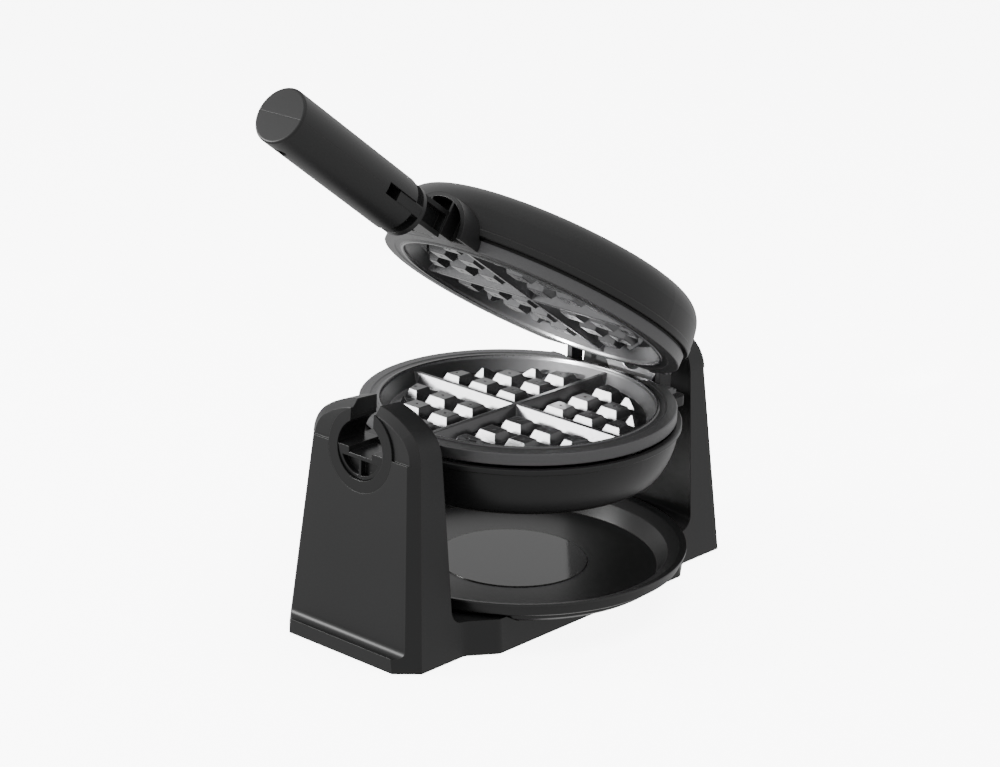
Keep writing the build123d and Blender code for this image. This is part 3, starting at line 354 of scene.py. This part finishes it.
steel = plated_steel("plated steel", tone=0.55, sheen=0.28)
# The hinge's parts are given a near-black tone, much darker than the other steel.
near_black = plated_steel("blackened steel", tone=0.05, sheen=0.42)
sheath = plated_steel("heater sheath", tone=0.16, sheen=0.45)
screw_steel = plated_steel("screw steel", tone=0.45, sheen=0.3)
rubber = dull_surface("rubber", tone=0.02, per_metre=700.0, depth=0.00005)
ceramic = dull_surface("ceramic", tone=0.55, per_metre=500.0, depth=0.00003)
print("small finishes:", steel.name, near_black.name, sheath.name, screw_steel.name, rubber.name, ceramic.name)

# %% [markdown]
# Each node of the frame already carries a placeholder material. Swapping the material in its slot
# leaves the shape alone. The list goes by the piece's name, and what it leaves out is a screw or
# plated steel, so a new screw is dressed without a new line.

# %% Dress the frame
finish_of = {
    "base_shell": base_plastic, "base_bottom_plate": base_plastic, "rear_tower_cover": base_plastic,
    "lower_housing": housing_plastic, "lid_housing": housing_plastic, "lid_collar": housing_plastic,
    "handle_bar": handle_plastic, "handle_upper_shell": handle_plastic, "handle_lower_shell": handle_plastic,
    "front_bearing_ring": bearing_plastic, "rear_bearing_bush": bearing_plastic,
    "front_journal": bearing_plastic,
    "lower_plate": lower_coating, "upper_plate": upper_coating,
    "drip_tray": enamel,
    "lower_heater": sheath, "upper_heater": sheath,
    "hinge_bracket": near_black, "lid_hinge_bracket": near_black, "hinge_pin": near_black,
    "thermostat": ceramic,
    "rubber_feet": rubber, "cord_inlet_bush": rubber,
}


def dress(piece, finish):
    """Put one finish in every slot of a piece."""
    if not piece.data.materials:
        piece.data.materials.append(finish)
    for slot in piece.material_slots:
        slot.material = finish


for name, piece in nodes.items():
    plain = screw_steel if name.endswith("screws") else steel
    dress(piece, finish_of.get(name, plain))
print("dressed pieces:", len(nodes))

# %% [markdown]
# The frame's screws are plain pegs. A real self-tapping screw has a low domed head, and it is a
# turned part, so it is made the way a lathe makes it: a profile is turned about an axis. Drawing it
# face by face would take longer and be less even. The floor is turned by the same helper later on.

# %% Turned forms
turn_steps = 24


def turned(profile, steps=turn_steps):
    """Form turned about Z from (radius, height) corners, closed where the radius is 0."""
    form = bmesh.new()
    angles = [radians(360 * k / steps) for k in range(steps)]
    rings = []
    for away, height in profile:
        spots = [(0.0, 0.0)] if away == 0.0 else [(away * cos(a), away * sin(a)) for a in angles]
        rings.append([form.verts.new((x, y, height)) for x, y in spots])
    for first, second in zip(rings, rings[1:]):
        for k in range(steps):
            corners = [first[k % len(first)], first[(k + 1) % len(first)],
                       second[(k + 1) % len(second)], second[k % len(second)]]
            corners = list(dict.fromkeys(corners))
            if len(corners) > 2:
                form.faces.new(corners)
    bmesh.ops.recalc_face_normals(form, faces=form.faces)
    return form


def as_object(form, name):
    """Finished mesh object from a form under construction."""
    data = bpy.data.meshes.new(name)
    form.to_mesh(data)
    form.free()
    piece = bpy.data.objects.new(name, data)
    bpy.context.collection.objects.link(piece)
    return piece


print("a turned form has", turn_steps, "sides")

# %% [markdown]
# The recess for the driver is pressed into the head as a cross. Modelled by hand it would break the
# dome into many odd faces, so two crossed bricks are cut out of the turned blank instead.

# %% One screw with a cross recess
head_radius = 0.0037
head_height = 0.0016
head_dome = ((0.0, 1.0), (0.4, 0.97), (0.7, 0.85), (0.92, 0.55), (1.0, 0.15), (1.0, 0.0))
shank_radius = 0.0018
tip_radius = 0.0005
tip_height = 0.002
recess_reach = 0.0019
recess_half = 0.00035
recess_depth = 0.0011
cutter_over = 0.001


def box_form(low, high):
    """Brick between two corners, used as a cutter."""
    form = bmesh.new()
    bmesh.ops.create_cube(form, size=1.0)
    for vert in form.verts:
        vert.co = [low[i] + (high[i] - low[i]) * (vert.co[i] + 0.5) for i in range(3)]
    return form


def cut_away(piece, cutters):
    """Mesh of a piece with each cutter taken out of it."""
    for cutter in cutters:
        step = piece.modifiers.new(cutter.name, "BOOLEAN")
        step.object = cutter
        step.solver = "EXACT"
    shaped = piece.evaluated_get(bpy.context.evaluated_depsgraph_get())
    mesh = bpy.data.meshes.new_from_object(shaped)
    for extra in [piece, *cutters]:
        bpy.data.objects.remove(extra)
    return mesh


def recessed_screw(length):
    """Screw along +Z with its head's underside at 0 and its recess open below."""
    dome = [(head_radius * away, -head_height * height) for away, height in head_dome]
    shank = [(shank_radius, 0.0), (shank_radius, length - tip_height), (tip_radius, length), (0.0, length)]
    blank = as_object(turned(dome + shank), "blank")
    low, high = -head_height - cutter_over, -head_height + recess_depth
    arms = [box_form((-x, -y, low), (x, y, high))
            for x, y in ((recess_reach, recess_half), (recess_half, recess_reach))]
    return cut_away(blank, [as_object(arm, "arm") for arm in arms])


print("screw heads are", round(2000 * head_radius, 1), "mm across")

# %% [markdown]
# No screw's place is typed in by hand, as each peg can be measured. A node's mesh holds several
# loose pegs, and following the edges from one point reaches every point of the same peg. The axis
# of a peg is the direction in which its points spread most, and its head is the wide end.

# %% Where the pegs stand
weld_reach = 0.00001
head_edge = 0.0028
screw_bodies = {
    "base_screws": "base", "rear_cover_screws": "base", "trunnion_screws": "rotor",
    "hinge_bracket_screws": "rotor", "handle_screws": "grip",
}


def peg_islands(mesh):
    """Points of each loose peg in a node's mesh."""
    form = bmesh.new()
    form.from_mesh(mesh)
    bmesh.ops.remove_doubles(form, verts=form.verts, dist=weld_reach)
    reached = set()
    islands = []
    for first in form.verts:
        if first in reached:
            continue
        reached.add(first)
        island = [first]
        for vert in island:
            for other in [edge.other_vert(vert) for edge in vert.link_edges]:
                if other not in reached:
                    reached.add(other)
                    island.append(other)
        islands.append(np.array([vert.co for vert in island]))
    form.free()
    return islands


def peg_place(points):
    """Matrix that stands a screw where a peg is, and the peg's shank length."""
    centre = (points.min(0) + points.max(0)) / 2
    axis = np.linalg.svd(points - points.mean(0))[2][0]
    along = (points - centre) @ axis
    away = np.linalg.norm((points - centre) - np.outer(along, axis), axis=1)
    head = away > head_edge
    if along[head].mean() > 0:
        axis, along = -axis, -along
    seat = along[head].max()
    middle_line = (points[head].min(0) + points[head].max(0)) / 2
    way = Vector(axis)
    start = Vector(middle_line) + way * float(seat - (middle_line - centre) @ axis)
    turn = way.to_track_quat("Z", "Y").to_matrix().to_4x4()
    return Matrix.Translation(start) @ turn, float(along.max() - seat)


pegs_of = {node: [peg_place(points) for points in peg_islands(nodes[node].data)] for node in screw_bodies}
print("pegs:", {node: len(pegs) for node, pegs in pegs_of.items()})

# %% [markdown]
# One screw of the right length is copied to each peg's place. All screws of a node share one mesh,
# as the frame's own pegs do, and that mesh takes the node's place. Pegs inside the housings stay, as
# nobody sees them.

# %% Screws in place of the pegs


def dress_screws(node, body):
    """Replace a node of pegs by recessed screws in one mesh."""
    whole = bmesh.new()
    length = pegs_of[node][0][1]
    screw_mesh = recessed_screw(length)
    for spot, _ in pegs_of[node]:
        placed = screw_mesh.copy()
        placed.transform(spot)
        whole.from_mesh(placed)
        bpy.data.meshes.remove(placed)
    piece = as_object(whole, node + "_recessed")
    dress(piece, screw_steel)
    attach(piece, body)
    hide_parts(node)
    return length


for node, body in screw_bodies.items():
    print(node, "shank in mm:", round(dress_screws(node, body) * 1000, 2))

# %% [markdown]
# Looking into the grip's side slot, one sees a dark wall and not the room behind it: a moulded web
# closes each half of the tube in front of the tongue. A web is a half-moon of even thickness, simple
# enough to be built point by point. It is drawn in the handle's own level frame and carried to its
# place by the two turns that the handle itself went through.

# %% Webs inside the grip
handle_height = 0.1348
disc_back = -0.15264
handle_lift = radians(1.1)
tube_inside = 0.0155
web_start = 0.0039
web_y = (-0.1826, -0.1700)
web_steps = 20


def about(point, angle):
    """Turn about an X line through a (y, z) point."""
    to = Matrix.Translation((0.0, point[0], point[1]))
    return to @ Matrix.Rotation(angle, 4, "X") @ to.inverted()


handle_tilt = about((disc_back, handle_height), -handle_lift)
handle_to_rest = about(hinge_place[1:], -lid_angle) @ handle_tilt


def grip_web(name, side):
    """Half-moon wall inside one half of the grip."""
    start = np.arcsin(web_start / tube_inside)
    angles = np.linspace(start, np.pi - start, web_steps + 1)
    outline = [(tube_inside * cos(a), handle_height + side * tube_inside * sin(a)) for a in angles]
    form = bmesh.new()
    front, rear = ([form.verts.new((x, y, z)) for x, z in outline] for y in web_y)
    form.faces.new(front)
    form.faces.new(rear)
    for k in range(len(outline)):
        after = (k + 1) % len(outline)
        form.faces.new((front[k], front[after], rear[after], rear[k]))
    bmesh.ops.recalc_face_normals(form, faces=form.faces)
    bmesh.ops.transform(form, matrix=handle_to_rest, verts=form.verts)
    web = as_object(form, name)
    dress(web, handle_plastic)
    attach(web, "grip")
    return web


for name, side in (("grip_web_upper", 1), ("grip_web_lower", -1)):
    print("web:", grip_web(name, side).name)

# %% [markdown]
# The floor is a pale sweep: a flat disc that bends up into a wall all round, so no horizon shows
# from any side. Lamps alone would leave it grey, so it glows, as a lit table of frosted glass does,
# and stays near white with only a faint shadow. The object neither mirrors the glow nor is lit by
# it, because a black piece would turn grey all over, and the sweep throws no shadow, so the room's
# light still comes in.

# %% Floor
floor_flat = 4.5
floor_bend = 1.5
wall_top = 4.0
floor_steps = 96
bend_steps = 9
floor_tones = (0.86, 0.9)
floor_sheen = 0.85
floor_glow = 7.0
white = (1.0, 1.0, 1.0, 1.0)


def pale_floor(name):
    """Near-white surface that glows evenly."""
    finish = Finish(name)
    cloud = speckle(finish, place(finish), per_metre=3.0)
    return finish.set(
        Base_Color=grey(finish, *floor_tones, cloud),
        Roughness=floor_sheen,
        Emission_Color=white,
        Emission_Strength=floor_glow,
    )


bend_angles = [radians(90 * k / bend_steps) for k in range(bend_steps + 1)]
bend = [(floor_flat + floor_bend * sin(a), floor_bend * (1 - cos(a))) for a in bend_angles]
sweep = [(0.0, 0.0), *bend, (floor_flat + floor_bend, wall_top)]
floor = as_object(turned(sweep, floor_steps), "floor")
for face in floor.data.polygons:
    face.use_smooth = True
dress(floor, pale_floor("floor"))
floor.visible_glossy = False
floor.visible_diffuse = False
floor.visible_shadow = False
print("floor across:", 2 * (floor_flat + floor_bend), "m")

# %% [markdown]
# A black object is drawn by its reflections. One small soft box low on the left turns the blocks'
# left faces white and lights the tower. A wide one overhead opens the top surfaces, hidden from
# mirror-like rays so that the dome keeps its black. More boxes would add highlights that the
# photograph doesn't have.

# %% Soft boxes
middle = Vector((0.0, 0.0, 0.15))


def lamp(kind, name, aim, direction, distance, power):
    """Light that stands some way from the point it faces."""
    data = bpy.data.lights.new(name, kind)
    data.energy = power
    light = bpy.data.objects.new(name, data)
    way = Vector(direction).normalized()
    light.location = Vector(aim) + way * distance
    light.rotation_euler = way.to_track_quat("Z", "Y").to_euler()
    bpy.context.collection.objects.link(light)
    return light


def soft_box(name, direction, distance, size, power):
    """Rectangular light that faces the middle of the object."""
    light = lamp("AREA", name, middle, direction, distance, power)
    light.data.shape = "RECTANGLE"
    light.data.size, light.data.size_y = size
    return light


key = soft_box("key", direction=(-0.62, -0.72, 0.31), distance=1.5, size=(0.5, 0.34), power=28.0)
overhead = soft_box("overhead", direction=(0.15, 0.1, 1.0), distance=1.8, size=(1.6, 1.6), power=60.0)
overhead.visible_glossy = False
print("soft boxes:", key.name, key.data.energy, "W,", overhead.name, overhead.data.energy, "W")

# %% [markdown]
# The open lid hides most of the room from the back of the lower well, so a narrow spot shines in
# under it. The room itself is the world's even white background. It gives each edge its thin line
# with no lamp for it.

# %% Spot and room
well_back = (-0.028, 0.094, 0.133)
spot_cone = radians(3.8)
spot_radius = 0.03
room_glow = 0.95

spot = lamp("SPOT", "wall spot", well_back, direction=(-0.03, -0.93, 0.27), distance=1.3, power=720.0)
spot.data.spot_size = spot_cone
spot.data.spot_blend = 1.0
spot.data.shadow_soft_size = spot_radius

world = bpy.data.worlds.new("room")
bpy.context.scene.world = world
world.use_nodes = True
sky = world.node_tree.nodes["Background"]
sky.inputs["Color"].default_value = white
sky.inputs["Strength"].default_value = room_glow
print("spot:", spot.data.energy, "W, room:", room_glow)

# %% [markdown]
# The camera stands where the photograph was taken: high on the right of the handle end, with a long
# lens. Turning it by eye would take many tries, so its three axes are worked out from azimuth,
# height angle and roll.

# %% Camera
azimuth = radians(40.844)
height_angle = radians(18.92)
roll = radians(2.076)
camera_place = Vector((1.22938, -1.44091, 0.79189))
focal_pixels = 3045.69
image_width = 1000
sensor_width = 36.0

back = Vector((sin(azimuth) * cos(height_angle), -cos(azimuth) * cos(height_angle), sin(height_angle)))
level_right = Vector((0.0, 0.0, 1.0)).cross(back).normalized()
level_up = back.cross(level_right)
right = level_right * cos(roll) + level_up * sin(roll)
up = level_up * cos(roll) - level_right * sin(roll)

lens = bpy.data.cameras.new("camera")
lens.sensor_width = sensor_width
lens.lens = focal_pixels / image_width * sensor_width
camera = bpy.data.objects.new("camera", lens)
turn = Matrix((right, up, back)).transposed().to_4x4()
camera.matrix_world = Matrix.Translation(camera_place) @ turn
bpy.context.collection.objects.link(camera)
bpy.context.scene.camera = camera
print("camera lens:", round(lens.lens, 2), "mm")
